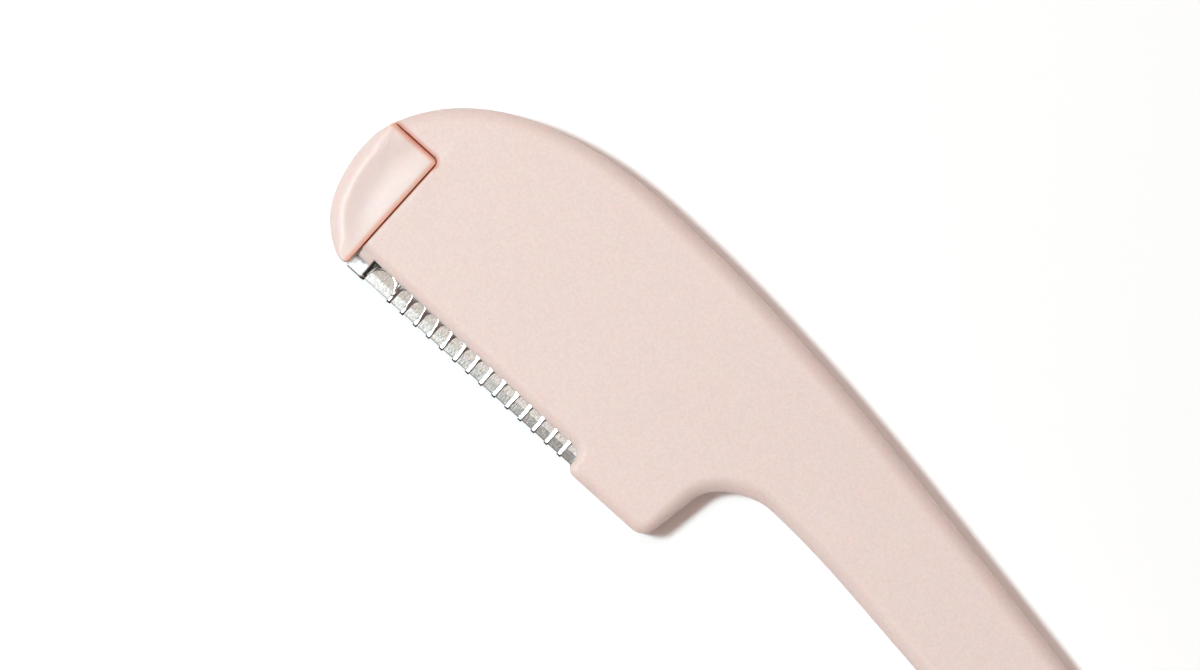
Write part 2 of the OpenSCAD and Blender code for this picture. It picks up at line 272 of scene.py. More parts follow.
def moulded(name, look):
    # Injection-moulded ABS with a spark-eroded grain: soft, even, with a faint cloudiness. "seam" is
    # what paintedSeamGlow takes for the glow and shade painted along the seam: near, reach, highReach and
    # rise.
    material, tree = newMaterial(name)
    coords = addNode(tree, "ShaderNodeTexCoord").outputs["Object"]
    cloud = addNode(tree, "ShaderNodeTexNoise", {
        "Vector": coords, "Scale": 1 / (look["cloudSize"] * millimetre), "Detail": 2.0, "Roughness": 0.5})
    tint = addNode(tree, "ShaderNodeMix", {
        "Factor": cloud.outputs["Fac"], colourA: toLinear(look["colour"]),
        colourB: toLinear(look["cloudColour"])}, data_type="RGBA")
    grain = addNode(tree, "ShaderNodeTexNoise", {
        "Vector": coords, "Scale": 1 / (look["grainSize"] * millimetre), "Detail": 3.0, "Roughness": 0.6})
    pits = addNode(tree, "ShaderNodeMapRange", {
        "Value": grain.outputs["Fac"], "From Min": noiseSpan[0], "From Max": noiseSpan[1]})
    speckled = addNode(tree, "ShaderNodeMix", {
        "Factor": pits.outputs["Result"], colourA: tint.outputs[colourOut],
        colourB: toLinear(look["pitTint"])}, data_type="RGBA", blend_type="MULTIPLY")
    # painted light: a warm glow standing in for light trapped in the seam, and the gap's shade, mixed into
    # the colour
    glow = paintedSeamGlow(tree, coords, *look["seam"])
    warm = addNode(tree, "ShaderNodeMix", {
        "Factor": glow, colourA: speckled.outputs[colourOut], colourB: toLinear(look["paintedSeamColour"])},
        data_type="RGBA")
    waves = addNode(tree, "ShaderNodeTexNoise", {
        "Vector": coords, "Scale": 1 / (look["waveSize"] * millimetre), "Detail": 1.0, "Roughness": 0.5})
    wavy = addNode(tree, "ShaderNodeBump", {
        "Height": waves.outputs["Fac"], "Strength": 1.0, "Distance": look["waveDepth"] * millimetre})
    grainy = addNode(tree, "ShaderNodeBump", {
        "Height": grain.outputs["Fac"], "Strength": 1.0, "Distance": look["grainDepth"] * millimetre,
        "Normal": wavy.outputs["Normal"]})
    shader = addNode(tree, "ShaderNodeBsdfPrincipled", {
        "Base Color": warm.outputs[colourOut], "Roughness": look["roughness"], "IOR": absIndex,
        "Subsurface Weight": look["scatterShare"], "Subsurface Scale": look["scatter"] * millimetre,
        "Subsurface Radius": absSpread, "Normal": grainy.outputs["Normal"]})
    addNode(tree, "ShaderNodeOutputMaterial", {"Surface": shader.outputs["BSDF"]})
    return material


def steel(name, look):
    # Stainless strip with drawn or ground lines. The attribute "fold" carries shade painted into the
    # metal's colour, in and beside the fold,
    # and each veil darkens a stretch: a colour, and the places where its share is 1 and 0.
    material, tree = newMaterial(name)
    coords = addNode(tree, "ShaderNodeTexCoord").outputs["Object"]
    stretched = addNode(tree, "ShaderNodeMapping", {"Vector": coords, "Scale": look["stretch"]})
    lines = addNode(tree, "ShaderNodeTexNoise", {
        "Vector": stretched.outputs["Vector"], "Scale": 1 / (look["lineWidth"] * millimetre),
        "Detail": 4.0, "Roughness": 0.65})
    contrast = addNode(tree, "ShaderNodeMapRange", {
        "Value": lines.outputs["Fac"], "From Min": noiseSpan[0], "From Max": noiseSpan[1]})
    tone = addNode(tree, "ShaderNodeMix", {
        "Factor": contrast.outputs["Result"], colourA: toLinear(look["colour"]),
        colourB: toLinear(look["lineColour"])}, data_type="RGBA")
    bump = addNode(tree, "ShaderNodeBump", {
        "Height": lines.outputs["Fac"], "Strength": 1.0, "Distance": look["lineDepth"] * millimetre})
    fold = addNode(tree, "ShaderNodeAttribute", attribute_name="fold")
    place = addNode(tree, "ShaderNodeSeparateXYZ", {"Vector": coords})
    shares = [(look["paintedShadeColour"], fold.outputs["Fac"])]
    for colour, fades in look["veils"]:
        share = None
        for axis, whole, none in fades:
            ends = (np.array([whole, none]) + drawingShift["XY".index(axis)]) * millimetre
            faded = addNode(tree, "ShaderNodeMapRange", {
                "Value": place.outputs[axis], "From Min": float(ends[0]), "From Max": float(ends[1]),
                "To Min": 1.0, "To Max": 0.0}).outputs["Result"]
            if share is not None:
                faded = addNode(tree, "ShaderNodeMath", {0: share, 1: faded},
                                operation="MULTIPLY").outputs[0]
            share = faded
        shares.append((colour, share))
    for colour, share in shares:
        tone = addNode(tree, "ShaderNodeMix", {
            "Factor": share, colourA: tone.outputs[colourOut], colourB: toLinear(colour)},
            data_type="RGBA", blend_type="MULTIPLY")
    shader = addNode(tree, "ShaderNodeBsdfPrincipled", {
        "Base Color": tone.outputs[colourOut], "Metallic": 1.0, "Roughness": look["roughness"],
        "Normal": bump.outputs["Normal"]})
    addNode(tree, "ShaderNodeOutputMaterial", {"Surface": shader.outputs["BSDF"]})
    return material


# Body: pale pink ABS straight from a grained mould, so it looks dry and even; its seam colour is a glow
# and shade painted along the seam
matteAbs = moulded("matte_moulded_ABS", {
    "colour": "EFDAD4", "cloudColour": "EDD6CF", "pitTint": "F8F6F5", "paintedSeamColour": "DC9280",
    "seam": (0.05, 0.2, 0.48, -0.6), "scatter": 1.6, "cloudSize": 14, "grainSize": 0.22,
    "grainDepth": 0.012, "waveSize": 6, "waveDepth": 0.01, "roughness": 0.52, "scatterShare": 0.3})
# Nose: the same plastic from a smoother mould, so a soft sheen follows its edge and its dish; its seam
# colour is a glow and shade painted along the seam
glossAbs = moulded("glossy_moulded_ABS", {
    "colour": "EDDBD6", "cloudColour": "ECD9D3", "pitTint": "FDFCFC", "paintedSeamColour": "E7AF9B",
    "seam": (0.2, 0.58, 0.6, -0.6), "scatter": 0.8, "cloudSize": 6, "grainSize": 0.5,
    "grainDepth": 0.003, "waveSize": 2.5, "waveDepth": 0.006, "roughness": 0.45, "scatterShare": 0.6})
# Blade: ground strip, its level part darker towards the nose, and along the cutting edge a honed bevel
# whose shade is painted in as a dark line
groundSteel = steel("ground_stainless_blade", {
    "colour": "E5EBEA", "lineColour": "BFC5C4", "paintedShadeColour": "FFFFFF", "stretch": (1, 0.5, 0.5),
    "veils": [("E3E0DD", [("X", 3, 16), ("Y", 0.95, 0.8)]), ("8A8681", [("Y", 0.1, 0.25)])],
    "lineWidth": 0.14, "lineDepth": 0.01, "roughness": 0.14})
# Guard foil: thin rolled sheet pressed and folded, bright on the bars, with shade painted inside the fold
# and beside it
foilSteel = steel("pressed_stainless_foil", {
    "colour": "E0E5E7", "lineColour": "D3D8DA", "paintedShadeColour": "595957", "stretch": (1, 1, 1),
    "veils": [], "lineWidth": 0.5, "lineDepth": 0.004, "roughness": 0.24})
print("made 4 materials")


# Body: head, heel, finger notch and handle in one moulding. "lipHeight" is by the nose and by the
# heel. "tab" and "tabReach" are the tab's ends in X and Y, and "tabHeights" the foot and the rise of
# its slope and half its height. "falls" are the angles of the handle's low line, back and end, and
# "seamFoot" is the notch's depth and the heights where it is whole and where it ends.

bodySizes = {
    "overall": 140, "headHeight": 20.65, "headTop": 15.4, "crownReach": 4.68, "crownLean": 66,
    "crownPast": 1.15, "edge": 1.3, "lip": 1.0, "window": 24.05, "lipHeight": (1.8, 1.44),
    "windowCorner": 0.9, "heelEnd": 32.3, "heelDrop": 0.43, "heelSide": 4.7, "heelLean": 10,
    "heelCorner": 1.45, "heelFront": 0.75, "frontEdge": 0.62, "tab": (0.12, 1.42),
    "tabReach": (1.2, 2.6), "tabHeights": (0.85, 1.2, 2.0), "notch": 5.9,
    "notchMiddle": (0.53, 0.81), "notchLean": 24, "crest": 8.13, "gripLow": (14.8, 6.75),
    "gripBack": (6.8, 17.87), "falls": (7, 9.4, 12), "backShares": (0.41, 0.33), "endRadius": 4.4,
    "endDrop": 2.9, "noseReach": 5.34, "seamHeight": 11.12, "pocketCorner": 0.56, "pocketPast": 2,
    "seamEdge": 0.14, "seamAt": 0.05, "seamFoot": (0.12, 1.75, 1.95), "hiddenEdge": 0.05,
    "partingLine": 0.015, "partingHalf": 0.05, "bandWidth": 0.12, "bandShare": 0.1, "pointStep": 0.45}


def bodyRows(s):
    heelX = s["heelEnd"]
    corner = np.array([heelX, -s["heelDrop"]])
    rise = s["heelSide"] + s["heelDrop"]
    side = np.array([heelX + rise * math.tan(math.radians(s["heelLean"])), s["heelSide"]])
    turn = s["heelCorner"] * math.tan(math.radians(90 - s["heelLean"]) / 2)
    crest = np.array([heelX + s["notch"], s["crest"]])
    notchMiddle = side + (crest - side) * np.array(s["notchMiddle"])
    gripLow = np.array([crest[0] + s["gripLow"][0], s["gripLow"][1]])
    gripBack = np.array([crest[0] + s["gripBack"][0], s["gripBack"][1]])
    endMiddle = np.array([s["overall"] - s["noseReach"] - s["endRadius"], -s["endDrop"]])
    lowFall, backFall, endFall = s["falls"]
    crownEnd = np.array([-s["crownReach"], s["seamHeight"]])
    crownPast = crownEnd - s["crownPast"] * s["edge"] * aim(s["crownLean"])
    line, arc, edge, lip = lineShare, arcShare, s["edge"], s["lip"]
    front, window, hidden = s["frontEdge"], s["window"], s["hiddenEdge"]
    lipFrom, lipTo = s["lipHeight"]
    fall = -math.degrees(math.atan2(lipFrom - lipTo, window))
    return [
        ((-edge - lip, lipFrom), fall, line, line, hidden),
        ((-lip, lipFrom), fall, line, line, lip),
        ((window - s["windowCorner"], lipTo), fall, arc, arc, lip),
        ((window, lipTo - s["windowCorner"]), -90, line, line, front),
        ((window, s["heelFront"] - s["heelDrop"]), -90, arc, arc, front),
        ((window + s["heelFront"], -s["heelDrop"]), 0, line, line, front),
        ((window + s["heelFront"] + edge, -s["heelDrop"]), 0, line, line, lip),
        (corner - (turn, 0), 0, arc, arc, lip),
        (corner + turn * aim(90 - s["heelLean"]), 90 - s["heelLean"], line, line, lip),
        (side, 90 - s["heelLean"], line, line, edge),
        (notchMiddle, s["notchLean"], line, line, edge),
        (crest, 0, line, line, edge),
        (gripLow, -lowFall, line, line, edge),
        (endMiddle + s["endRadius"] * aim(-90 - endFall), -endFall, arc, arc, edge),
        (endMiddle + s["endRadius"] * aim(-endFall), 90 - endFall, arc, arc, edge),
        (endMiddle + s["endRadius"] * aim(90 - endFall), 180 - endFall, line, line, edge),
        (gripBack, 180 - backFall, line, line, edge),
        ((s["headTop"], s["headHeight"]), 180, *s["backShares"], edge),
        (crownEnd, 180 + s["crownLean"], line, line, edge),
        (crownPast, 180 + s["crownLean"], line, line, hidden)]


def makeBody(s):
    edge = outlinePoints(bodyRows(s), s["pointStep"])
    place, inward, w = edge
    high = edgeRings(edge, np.linspace(0, 90, 17), thickness, 1)
    band = inward * np.minimum(s["bandWidth"], s["bandShare"] * w)[:, None]  # level, inside the rounding
    support = high[-1:] + np.concatenate([band, 0 * w[:, None]], 1)
    upper = np.concatenate([high, support])
    lower = upper[::-1] * (1, 1, -1) + (0, 0, thickness)
    half = s["partingHalf"]
    parting = np.stack([np.concatenate([place - inward * out, np.full((len(w), 1), midHeight + rise)], 1)
                        for out, rise in ((0, -half), (s["partingLine"], 0), (0, half))])
    points = np.concatenate([lower, parting, upper])
    body = newPiece("razor_body", points, tubeFaces(*points.shape[:2]))
    tabLow, tabBack = s["tabReach"]
    slopeFoot, slopeRise, tabHalf = s["tabHeights"]
    slope = [(tabLow + t * t, slopeFoot + slopeRise * t) for t in np.linspace(0, 1, 9)]
    tab = [(tabBack, -tabHalf), *[(y, -z) for y, z in slope[::-1]], *slope, (tabBack, tabHalf)]
    cutOrJoin(body, newPiece("tab", *sectionBar(tab, *s["tab"])), "UNION")
    cutOrJoin(body, nosePocket(s), "DIFFERENCE")
    for section, fromX, toX in railSlot(railSizes):
        cutOrJoin(body, newPiece("slot", *sectionBar(section, fromX, toX)), "DIFFERENCE")
    shade(body)
    return body


def nosePocket(s):
    # The room of the nose, carried upward. Its wall flares by a quarter circle at both faces, which
    # leaves the body's edge along the seam softly rounded: out = r - sqrt(r^2 - (r - depth)^2). The
    # wall steps back at the foot, so the seam ends in a wider dark notch above the blade.
    corner, top, r, past = s["pocketCorner"], s["seamHeight"], s["seamEdge"], s["pocketPast"]
    reach = s["noseReach"] + past
    arc = np.radians(np.linspace(0, 90, 13))
    turn = np.stack([np.cos(arc), np.sin(arc)], 1)
    bend = (s["seamAt"] - corner, top - corner) + corner * turn
    relief, reliefTo, reliefEnd = s["seamFoot"]
    wall = s["seamAt"] + relief
    foot = [(-reach, -past), (wall, -past), (wall, reliefTo), (s["seamAt"], reliefEnd)]
    outline = np.concatenate([foot, bend, [(-reach, top)]])
    outward = np.concatenate([[(0, 0), (1, 0), (1, 0), (1, 0)], turn, [(0, 1)]])
    depth = np.linspace(0, r, 7)
    out = r - np.sqrt(r * r - (r - depth) ** 2)
    heights = np.concatenate([[-past], depth, (thickness - depth)[::-1], [thickness + past]])
    flares = np.concatenate([[r], out, out[::-1], [r]])
    flat = outline + outward * flares[:, None, None]
    points = np.concatenate([flat, np.broadcast_to(heights[:, None, None], (*flat.shape[:2], 1))], -1)
    return newPiece("pocket", points, tubeFaces(*points.shape[:2]))


railSizes = {
    "thickness": 2, "low": 3.23, "width": 6, "neck": 1.05, "end": 26.5, "neckEnd": 23.9, "gap": 0.08,
    "window": 24.05, "root": -0.7, "neckLow": 1.88, "bed": 0.225, "bladeTop": 6.12, "slotPast": 1,
    "slotJoin": 0.15}


def railSlot(s):
    # the T-shaped slot of the rail, and behind the window a slimmer pocket for the blade's end
    half, gap, past, window = s["thickness"] / 2 + s["gap"], s["gap"], s["slotPast"], s["window"]
    low, high = s["low"] - gap, s["low"] + s["width"] + gap
    along = (s["neck"] / 2 + gap, -past, window, -past)
    behind = (s["bed"] - hair + gap, window - s["slotJoin"], s["end"] + gap, -gap)
    sections = []
    for neck, fromX, toX, foot in (along, behind):
        sections.append(([(foot, -neck), (low, -neck), (low, -half), (high, -half),
                          (high, half), (low, half), (low, neck), (foot, neck)], fromX, toX))
    return sections


# Nose: a dished cap on the rail that carries the blade. "dishFrom" is where the dish starts and is
# full, "slump" and "brow" also how far the face falls there. "cheek", "belly" and "chin" are a place
# and a heading, "shoulder" a reach and a heading.

noseSizes = {
    "reach": 5.34, "wide": 8.0, "foot": 0.1, "inset": 0.05, "corner": 0.4, "edge": 1.25, "edgeRise": 0.8,
    "seamEdge": 0.12, "gap": 0.1, "crownGap": 0.07, "crownEdge": 0.3, "draft": 0.1,
    "dish": 0.16, "dishEnd": 0.4, "ridge": 1.0, "dishFrom": (1.2, 5.5),
    "slump": (0.8, 4.0, 0.1), "brow": (8.8, 10.8, 0.08),
    "cheek": (-5.1, 9.93, 253), "cheekEdge": 0.69, "middle": (-2.3, 5.9), "shoulder": (4.76, 245),
    "shoulderCorner": 0.22, "shoulderEdge": 0.19, "belly": (-4.43, 3.5, 293),
    "chin": (-2.45, 0.96, 322), "pointStep": 0.12}


def noseRows(s, body):
    top = body["seamHeight"] - s["crownGap"]
    upper = s["shoulderCorner"]
    shoulder = (-s["shoulder"][0], top - upper)
    line, arc, soft, corner = lineShare, arcShare, s["seamEdge"], s["corner"]
    seam, crown = body["seamAt"] - s["gap"], s["crownEdge"]
    return [
        ((seam - corner, s["foot"]), 0, arc, arc, soft),
        ((seam, s["foot"] + corner), 90, line, line, soft),
        ((seam, top - corner), 90, arc, arc, soft),
        ((seam - corner, top), 180, line, line, crown),
        ((shoulder[0] + 3 * upper, top), 180, line, line, crown),
        ((shoulder[0] + upper, top), 180, arc, arc, s["shoulderEdge"]),
        (shoulder, s["shoulder"][1], line, line, s["shoulderEdge"]),
        (s["cheek"][:2], s["cheek"][2], line, line, s["cheekEdge"]),
        ((-s["reach"], s["wide"]), 270, line, line, s["edge"]),
        (s["belly"][:2], s["belly"][2], line, line, s["edge"]),
        (s["chin"][:2], s["chin"][2], line, line, s["edge"])]


def nearest(places, samples):
    # distance from each place to the nearest sample
    return np.linalg.norm(places[:, None, :] - samples[None, :, :], axis=-1).min(1)


def makeNose(s, body):
    # Rings of the rounded edge, then rings drawn in to the middle. Inside a ridge along the free edge
    # the face is dished: deep by 16 q^2 (1 - q)^2, where q is the share of the way from the ridge to
    # the seam, easing out towards the foot. The whole face slumps a little past the foot and again at
    # the brow. The walls at the seam bulge by their draft.
    edge = outlinePoints(noseRows(s, body), s["pointStep"])
    place, inward, w = edge
    free = inward[:, 0] > 0.15  # the rim away from the seam
    rings = edgeRings(edge, np.linspace(0, 90, 19), thickness - s["inset"], s["edgeRise"])
    draw = (1 - np.linspace(0, 1, 22)[1:-1] ** 1.2)[:, None, None]
    middle = np.array([*s["middle"], thickness - s["inset"]])
    inner = middle + (rings[-1] - middle) * draw
    face = np.concatenate([rings, inner])
    for points in (face, middle):
        flat = points.reshape(-1, 3)[:, :2]
        toFree = nearest(flat, place[free]) - s["ridge"]
        toSeam = np.maximum(body["seamAt"] - s["gap"] - s["dishEnd"] - flat[:, 0], 0)
        q = np.clip(toFree / (np.abs(toFree) + toSeam + 0.001), 0, 1)  # never divided by 0
        depth = s["dish"] * 16 * q ** 2 * (1 - q) ** 2 * smooth(fade(flat[:, 1], *s["dishFrom"]))
        start, full, fall = s["slump"]
        depth += fall * smooth(fade(flat[:, 1], start, full))
        start, full, fall = s["brow"]
        depth += fall * np.clip((flat[:, 1] - start) / (full - start), 0, None) ** 2
        points[..., 2] -= depth.reshape(points.shape[:-1])
    bulge = inward * (s["draft"] * fade(w, s["edge"], s["seamEdge"]))[:, None]
    belly = np.concatenate([place - bulge, 0 * place[:, :1] + midHeight], 1)
    below = face[::-1] * (1, 1, -1) + (0, 0, thickness)
    levels, n = 2 * len(face) + 1, face.shape[1]
    points = np.concatenate([below.reshape(-1, 3), belly, face.reshape(-1, 3),
                             [middle * (1, 1, -1) + (0, 0, thickness)], [middle]])
    ring = np.arange(n)
    top = ring + (levels - 1) * n
    lowPole = np.stack([np.roll(ring, -1), ring, np.full(n, levels * n)], 1)
    highPole = np.stack([top, np.roll(top, -1), np.full(n, levels * n + 1)], 1)
    return newPiece("cartridge_nose", points, [gridFaces(levels, n, True), lowPole, highPole])


def makeRail(s):
    # the rail's lower half with the step that backs the blade, and the neck towards the window
    half, bed, low, high = s["thickness"] / 2, s["bed"], s["low"], s["low"] + s["width"]
    step = s["bladeTop"] + hair
    rail = [(low, -half), (high, -half), (high, bed - hair), (step, bed - hair), (step, -bed), (low, -bed)]
    neck = [(s["neckLow"], -s["neck"] / 2), (low + hair, -s["neck"] / 2), (low + hair, -bed),
            (s["neckLow"], -bed)]
    return [sectionBar(rail, s["root"], s["end"]), sectionBar(neck, s["root"], s["neckEnd"])]


postSizes = {
    "radius": 0.8, "head": 1.25, "headHeight": 0.35, "headRim": 0.08, "domeTurn": 62, "dimple": 0.1,
    "sides": 40, "sunk": 0.05, "inset": 4.5, "height": 1.5}


def makePost(s, rail, x):
    # a post with a staked head: a shallow dome with the dimple that the hot tool leaves
    base, top = midHeight - rail["bed"] - s["sunk"], midHeight + rail["thickness"] / 2 - hair
    under = top - s["headHeight"]
    rim = under + s["headRim"]
    dome = [(s["head"] * math.cos(a), rim + (top - rim) * math.sin(a))
            for a in np.radians(np.linspace(0, s["domeTurn"], 9))]
    # the dimple falls from the dome's end by k (2 - k), with k the share of the way to the middle
    dimple = [(dome[-1][0] * (1 - k), dome[-1][1] - s["dimple"] * k * (2 - k))
              for k in np.linspace(0, 1, 9)[1:-1]]
    profile = [(s["radius"], base), (s["radius"], under), (s["head"], under), *dome, *dimple]
    return lathe(profile, (x, rail["low"] + s["height"]), s["sides"])


def makeCarrier():
    carrier = makeNose(noseSizes, bodySizes)
    parts = makeRail(railSizes)
    for x in (postSizes["inset"], railSizes["end"] - postSizes["inset"]):
        parts.append(makePost(postSizes, railSizes, x))
    for part in parts:
        cutOrJoin(carrier, newPiece("part", *part), "UNION")
    shade(carrier)
    return carrier


# Guard foil: a folded strip with round-topped windows, its bars crowned by the press. "slopesNear"
# and "slopesFar" are the crown's slopes from its left and right side by the nose and by the heel;
# they change from the first to the second over "nearSpan" past "near", each given at the three
# heights of "spanHeights". "step" is where the metal by the nose is a step higher, where it is level
# again, and the step's height. A pair named fade is where its share is 0 and where it is 1.

foilSizes = {
    "thickness": 0.08, "top": 6.12, "bend": 0.92, "half": 0.175, "foldMiddle": 0.16,
    "fold": (0.12, 0.06), "foldEnd": 96, "bendEase": ((-0.1, -0.012), (0.05, -0.001), (0.15, 0)),
    "start": 0.1, "startLow": 0.8, "end": 26.5, "firstBar": 1.66, "pitch": 1.41,
    "bar": 0.4, "windowTop": 1.73, "wide": 2, "windows": 16, "arcSteps": 8, "barSteps": 6,
    "barStep": 0.07, "proud": 0.14, "boxProud": 0.06, "proudFade": (1.9, 1.7), "ease": 0.008,
    "near": (4.5, 5.5, 8), "nearSpan": (4, 8, 7), "spanHeights": (0.5, 0.9, 1.3),
    "slopesNear": (0.22, 0.2), "slopesFar": (0.12, 0.6), "highFade": (1.0, 1.4), "highShare": 0.3,
    "lift": 0.06, "liftFade": (0.55, 0.95), "step": (1.42, 1.78, 0.03), "stepFade": (0, 0.9)}

# Painted shade on the foil: a slash down the step by the nose, where the body's tab casts its shadow, a
# ledge under the body's tab that is darkest in the notch at the seam's foot, and the outside of the fold
paintedShadeSizes = {
    "slashEdge": 0.06, "slashFade": (0.25, 0.35), "slashWiden": 0.5, "widenFade": (1.1, 1.6),
    "ledgeEdge": 0.06, "ledgeFade": (1.0, 1.05), "ledgeShare": 0.7, "notchEnd": 0.28,
    "foldFade": (0.21, 0.07), "foldStart": (1.3, 1.5)}


def foilSection(s):
    # half of the folded section as a table of path length, Y and height: a quarter of the fold's
    # ellipse, then the slope along the bevel, then the level part
    turn = np.radians(np.linspace(180, s["foldEnd"], 12))
    fold = np.stack([s["foldMiddle"] + s["fold"][0] * np.cos(turn), s["fold"][1] * np.sin(turn)], 1)
    bend = np.array(s["bendEase"]) + (s["bend"], s["half"])
    path = np.concatenate([fold, bend, [(s["top"], s["half"])]])
    length = np.concatenate([[0], np.cumsum(np.linalg.norm(np.diff(path, axis=0), axis=1))])
    return length, path[:, 0], path[:, 1]


def foilColumns(s):
    # Columns along X with the lowest Y of the upright face there, and whether the next gap is open.
    # "arcSteps" is for an arc of 0.5 mm, and larger ones have more by the root of the radius.
    bars = [s["firstBar"], *(s["firstBar"] + s["pitch"] * np.arange(s["wide"], s["windows"] + 1))]
    startX, startLow = s["start"], s["startLow"]
    parts = [np.array([[startX, startLow, 0]])]
    for left, right in zip(bars[:-1], bars[1:]):
        fromX, toX = left + s["bar"] / 2, right - s["bar"] / 2
        radius = min((toX - fromX) / 2, s["windowTop"])
        spring = s["windowTop"] - radius
        count = max(s["barSteps"], int((fromX - startX) / s["barStep"]))
        t = np.arange(1, count + 1) / count
        parts.append(np.stack([
            startX + (fromX - startX) * t, startLow + (spring - startLow) * t, 0 * t], 1))
        turn = np.radians(np.linspace(180, 0, int(s["arcSteps"] * math.sqrt(radius / 0.5)) + 1)[1:])
        parts.append(np.stack([(fromX + toX) / 2 + radius * np.cos(turn), spring + radius * np.sin(turn),
                               np.ones(len(turn))], 1))
        startX, startLow = toX, spring
    t = np.arange(1, s["barSteps"] + 1) / s["barSteps"]
    parts.append(np.stack([startX + (s["end"] - startX) * t, 0 * t + startLow, 0 * t], 1))
    table = np.concatenate(parts)
    return table[:, 0], table[:, 1], table[1:, 2] > 0


def foilCrown(s, columns, lowPath, opened, path, x, y):
    # How far the metal stands proud. From the opening on each side it rises by its own slope,
    # min(left, right, proud) eased as -e log(sum of exp(-h / e)), and the closed end by the nose
    # stands a step higher.
    after, before = np.r_[opened, False], np.r_[False, opened]
    towards = np.stack([x.ravel(), np.abs(path).ravel()], 1)
    upright = np.stack([columns, lowPath], 1)
    turning = np.r_[0, np.sign(np.diff(lowPath))]
    start, span = [np.interp(y, s["spanHeights"], s[name]) for name in ("near", "nearSpan")]
    fall = fade(x, start, start + span) * (1 - s["highShare"] * fade(y, *s["highFade"]))
    lift = s["lift"] * (1 - fall) * fade(y, *s["liftFade"])
    fromX, toX, step = s["step"]
    heights = [np.where(x < toX, s["boxProud"], s["proud"])]
    sides = ((after & ~before, after & (turning >= 0)), (before & ~after, before & (turning <= 0)))
    for k, (edge, rim) in enumerate(sides):
        near, far = s["slopesNear"][1 - k], s["slopesFar"][1 - k]
        toRim = nearest(towards, upright[rim]).reshape(path.shape)
        toSide = np.abs(columns[:, None] - columns[edge]).min(1) + 0 * path
        distance = np.where(np.abs(path) < lowPath, toSide, toRim)
        heights.append((near + (far - near) * fall) * distance + k * lift)
    proud = -s["ease"] * np.log(sum(np.exp(-h / s["ease"]) for h in heights))
    return proud * fade(y, *s["proudFade"]) + step * fade(x, toX, fromX) * fade(y, *s["stepFade"])


def foilPaintedShade(s, step, path, x, y):
    # shares of the shade painted into the foil's colour: the tab's shadow, the shade under the tab and in
    # the notch, and the fold's dark outside
    fromX, toX, _ = step
    slashTo = toX + s["slashWiden"] * fade(y, *s["widenFade"])
    slash = fade(np.minimum(x - fromX, slashTo - x), 0, s["slashEdge"]) * fade(y, *s["slashFade"])
    ledge = fade(x, fromX, fromX - s["ledgeEdge"]) * fade(y, *s["ledgeFade"])
    ledge = ledge * np.where(x < s["notchEnd"], 1.0, s["ledgeShare"])
    turned = fade(np.abs(path), *s["foldFade"]) * fade(x, *s["foldStart"])
    return np.maximum(np.maximum(slash, ledge), turned)


def makeFoil(s):
    # a grid of rows round the folded section and columns along X, less the quads of the windows
    length, pathY, pathZ = foilSection(s)
    columns, low, opened = foilColumns(s)
    lowPath = np.interp(low, pathY, length)
    # rows crowd towards the tops of the windows, and on the bars towards the fold
    faceShares = np.array([0, 0.03, 0.07, 0.12, 0.2, 0.35, 0.6, 1.0])
    barShares = np.linspace(1, -1, 25)[1:-1]
    barShares = np.sign(barShares) * np.abs(barShares) ** 1.5
    upper = lowPath[:, None] + (length[-1] - lowPath[:, None]) * faceShares[::-1]
    path = np.concatenate([upper, lowPath[:, None] * barShares, -upper[:, ::-1]], 1).T
    rows, n = path.shape
    y = np.interp(np.abs(path), length, pathY)
    z = np.sign(path) * np.interp(np.abs(path), length, pathZ)
    x = np.broadcast_to(columns, path.shape)
    proud = foilCrown(s, columns, lowPath, opened, path, x, y)
    # the shade that is painted into the foil's colour
    paintedShade = foilPaintedShade(paintedShadeSizes, s["step"], path, x, y)
    runY, runZ = np.gradient(y, axis=0), np.gradient(z, axis=0)
    size = np.hypot(runY, runZ)
    y = y + proud * runZ / size
    z = z - proud * runY / size
    points = np.stack([x, y, midHeight + z], -1)
    faces = gridFaces(rows, n, False)
    keep = np.ones((rows - 1, n - 1), bool)
    keep[len(faceShares) - 1:len(faceShares) + len(barShares), opened] = False
    faces = faces[keep.ravel()]
    used = np.unique(faces)
    renumber = np.zeros(rows * n, int)
    renumber[used] = np.arange(len(used))
    foil = newPiece("guard_foil_shell", points.reshape(-1, 3)[used], [renumber[faces]])
    # the painted shade is kept as the attribute "fold"
    fold = foil.data.attributes.new("fold", "FLOAT", "POINT")
    fold.data.foreach_set("value", paintedShade.ravel()[used])
    wall = foil.modifiers.new("wall", "SOLIDIFY")
    wall.thickness = s["thickness"] * millimetre
    wall.offset = 0
    wall.use_even_offset = True
    soft = foil.modifiers.new("soft", "SUBSURF")
    soft.levels = soft.render_levels = 1
    applyModifiers(foil)
    foil.data.shade_smooth()
    return foil


# The pieces

body = makeBody(bodySizes)
dress(body, "handle", matteAbs, ["body"])
carrier = makeCarrier()
dress(carrier, "cartridge", glossAbs, ["cartridge_carrier"])
foil = makeFoil(foilSizes)
dress(foil, "cartridge", foilSteel, ["guard_foil"])
for name, material in (("blade", groundSteel), ("clamp_plate", glossAbs)):
    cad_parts[name].material_slots[0].material = material


# Floor, light and camera

stageSizes = {
    "floor": 6.0, "floorDrop": 0.02, "floorColour": "FFFDFD", "floorLift": 0.06,
    "worldColour": "FFC4A6", "world": 0.145,
    "centre": (-0.04581, 0.00273), "turn": 42, "width": 0.096, "distance": 1.2, "sensor": 36}
# Level panels, in millimetres on the drawing plane: middle, size, height, radiance and colour. The
# key is the small lamp whose shadow shows. The ceiling ends just past the upright, so the blade's
# bevel looks into the dim room, and three cards hang low over the nose end of the bevel and fold.
lampSizes = {
    "key": ((-523, -275), (220, 220), 1600, 153.5, "E9FBFF"),
    "ceiling": ((-440, 480), (1120, 1240), 1000, 1.0, "FFF2EC"),
    "card": ((-26, -30), (68, 25), 100, 0.93, "FFFCFA"),
    "cardEnd": ((-18, -30), (84, 25), 101, 0.48, "FFFCFA"),
    "cardTip": ((-12, -70), (34, 55), 99, 1.0, "FFFCFA")}


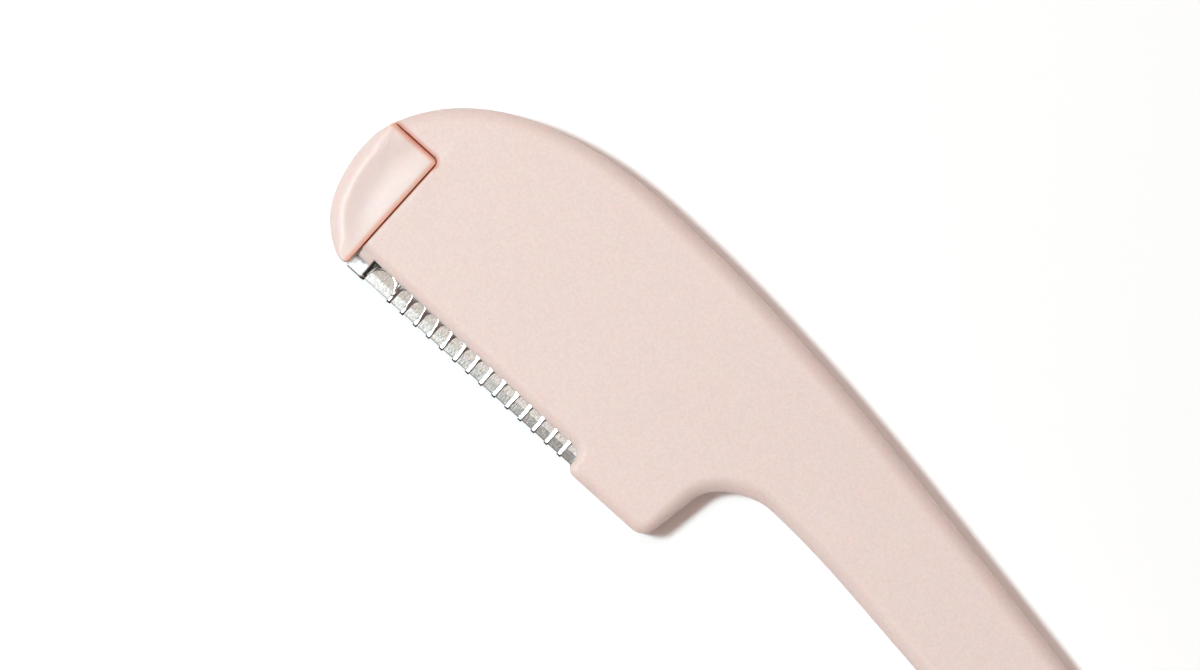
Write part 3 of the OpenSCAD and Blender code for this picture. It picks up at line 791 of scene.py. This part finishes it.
def makeStage(s):
    span = s["floor"] / 2 / millimetre
    corners = [(x * span, y * span, -s["floorDrop"]) for x, y in ((-1, -1), (1, -1), (1, 1), (-1, 1))]
    floor = newPiece("white_table", corners, [[np.arange(4)]])
    material, tree = newMaterial("matte_white_board")
    # The board, and a little of its own light where the camera or a mirror looks at it
    board = addNode(tree, "ShaderNodeBsdfDiffuse", {"Color": toLinear(s["floorColour"])})
    path = addNode(tree, "ShaderNodeLightPath")
    seen = path.outputs["Is Camera Ray"]
    for ray in ("Is Glossy Ray", "Is Transmission Ray"):
        seen = addNode(tree, "ShaderNodeMath", {0: seen, 1: path.outputs[ray]},
                       operation="MAXIMUM").outputs[0]
    lift = addNode(tree, "ShaderNodeMath", {0: seen, 1: s["floorLift"]}, operation="MULTIPLY")
    shine = addNode(tree, "ShaderNodeEmission", {"Strength": lift.outputs[0]})
    joined = addNode(tree, "ShaderNodeAddShader", {
        0: board.outputs["BSDF"], 1: shine.outputs["Emission"]})
    addNode(tree, "ShaderNodeOutputMaterial", {"Surface": joined.outputs["Shader"]})
    floor.data.materials.append(material)
    world = bpy.data.worlds.new("studio")
    bpy.context.scene.world = world
    world.use_nodes = True
    world.node_tree.nodes.clear()
    room = addNode(world.node_tree, "ShaderNodeBackground", {
        "Color": toLinear(s["worldColour"]), "Strength": s["world"]})
    addNode(world.node_tree, "ShaderNodeOutputWorld", {"Surface": room.outputs["Background"]})


def addLamp(name, middle, size, height, radiance, colour):
    # power = pi * radiance * area
    lamp = bpy.data.objects.new(name, bpy.data.lights.new(name, "AREA"))
    lamp.data.shape = "RECTANGLE"
    lamp.data.size = size[0] * millimetre
    lamp.data.size_y = size[1] * millimetre
    lamp.data.color = toLinear(colour)[:3]
    lamp.data.energy = math.pi * radiance * lamp.data.size * lamp.data.size_y
    lamp.location = (np.array([*middle, height]) + drawingShift) * millimetre
    lamp.visible_camera = False
    bpy.context.scene.collection.objects.link(lamp)


def addCamera(s):
    camera = bpy.data.objects.new("camera", bpy.data.cameras.new("camera"))
    camera.data.sensor_width = s["sensor"]
    camera.data.lens = s["sensor"] * s["distance"] / s["width"]
    camera.location = (*s["centre"], s["distance"] + midHeight * millimetre)
    camera.rotation_euler = (0, 0, math.radians(s["turn"]))
    bpy.context.scene.collection.objects.link(camera)
    bpy.context.scene.camera = camera


makeStage(stageSizes)
for lampName, lampPlace in lampSizes.items():
    addLamp(lampName, *lampPlace)
addCamera(stageSizes)
print("made the floor,", len(lampSizes), "lamps and the camera")
bpy.context.scene.view_settings.view_transform = "Standard"
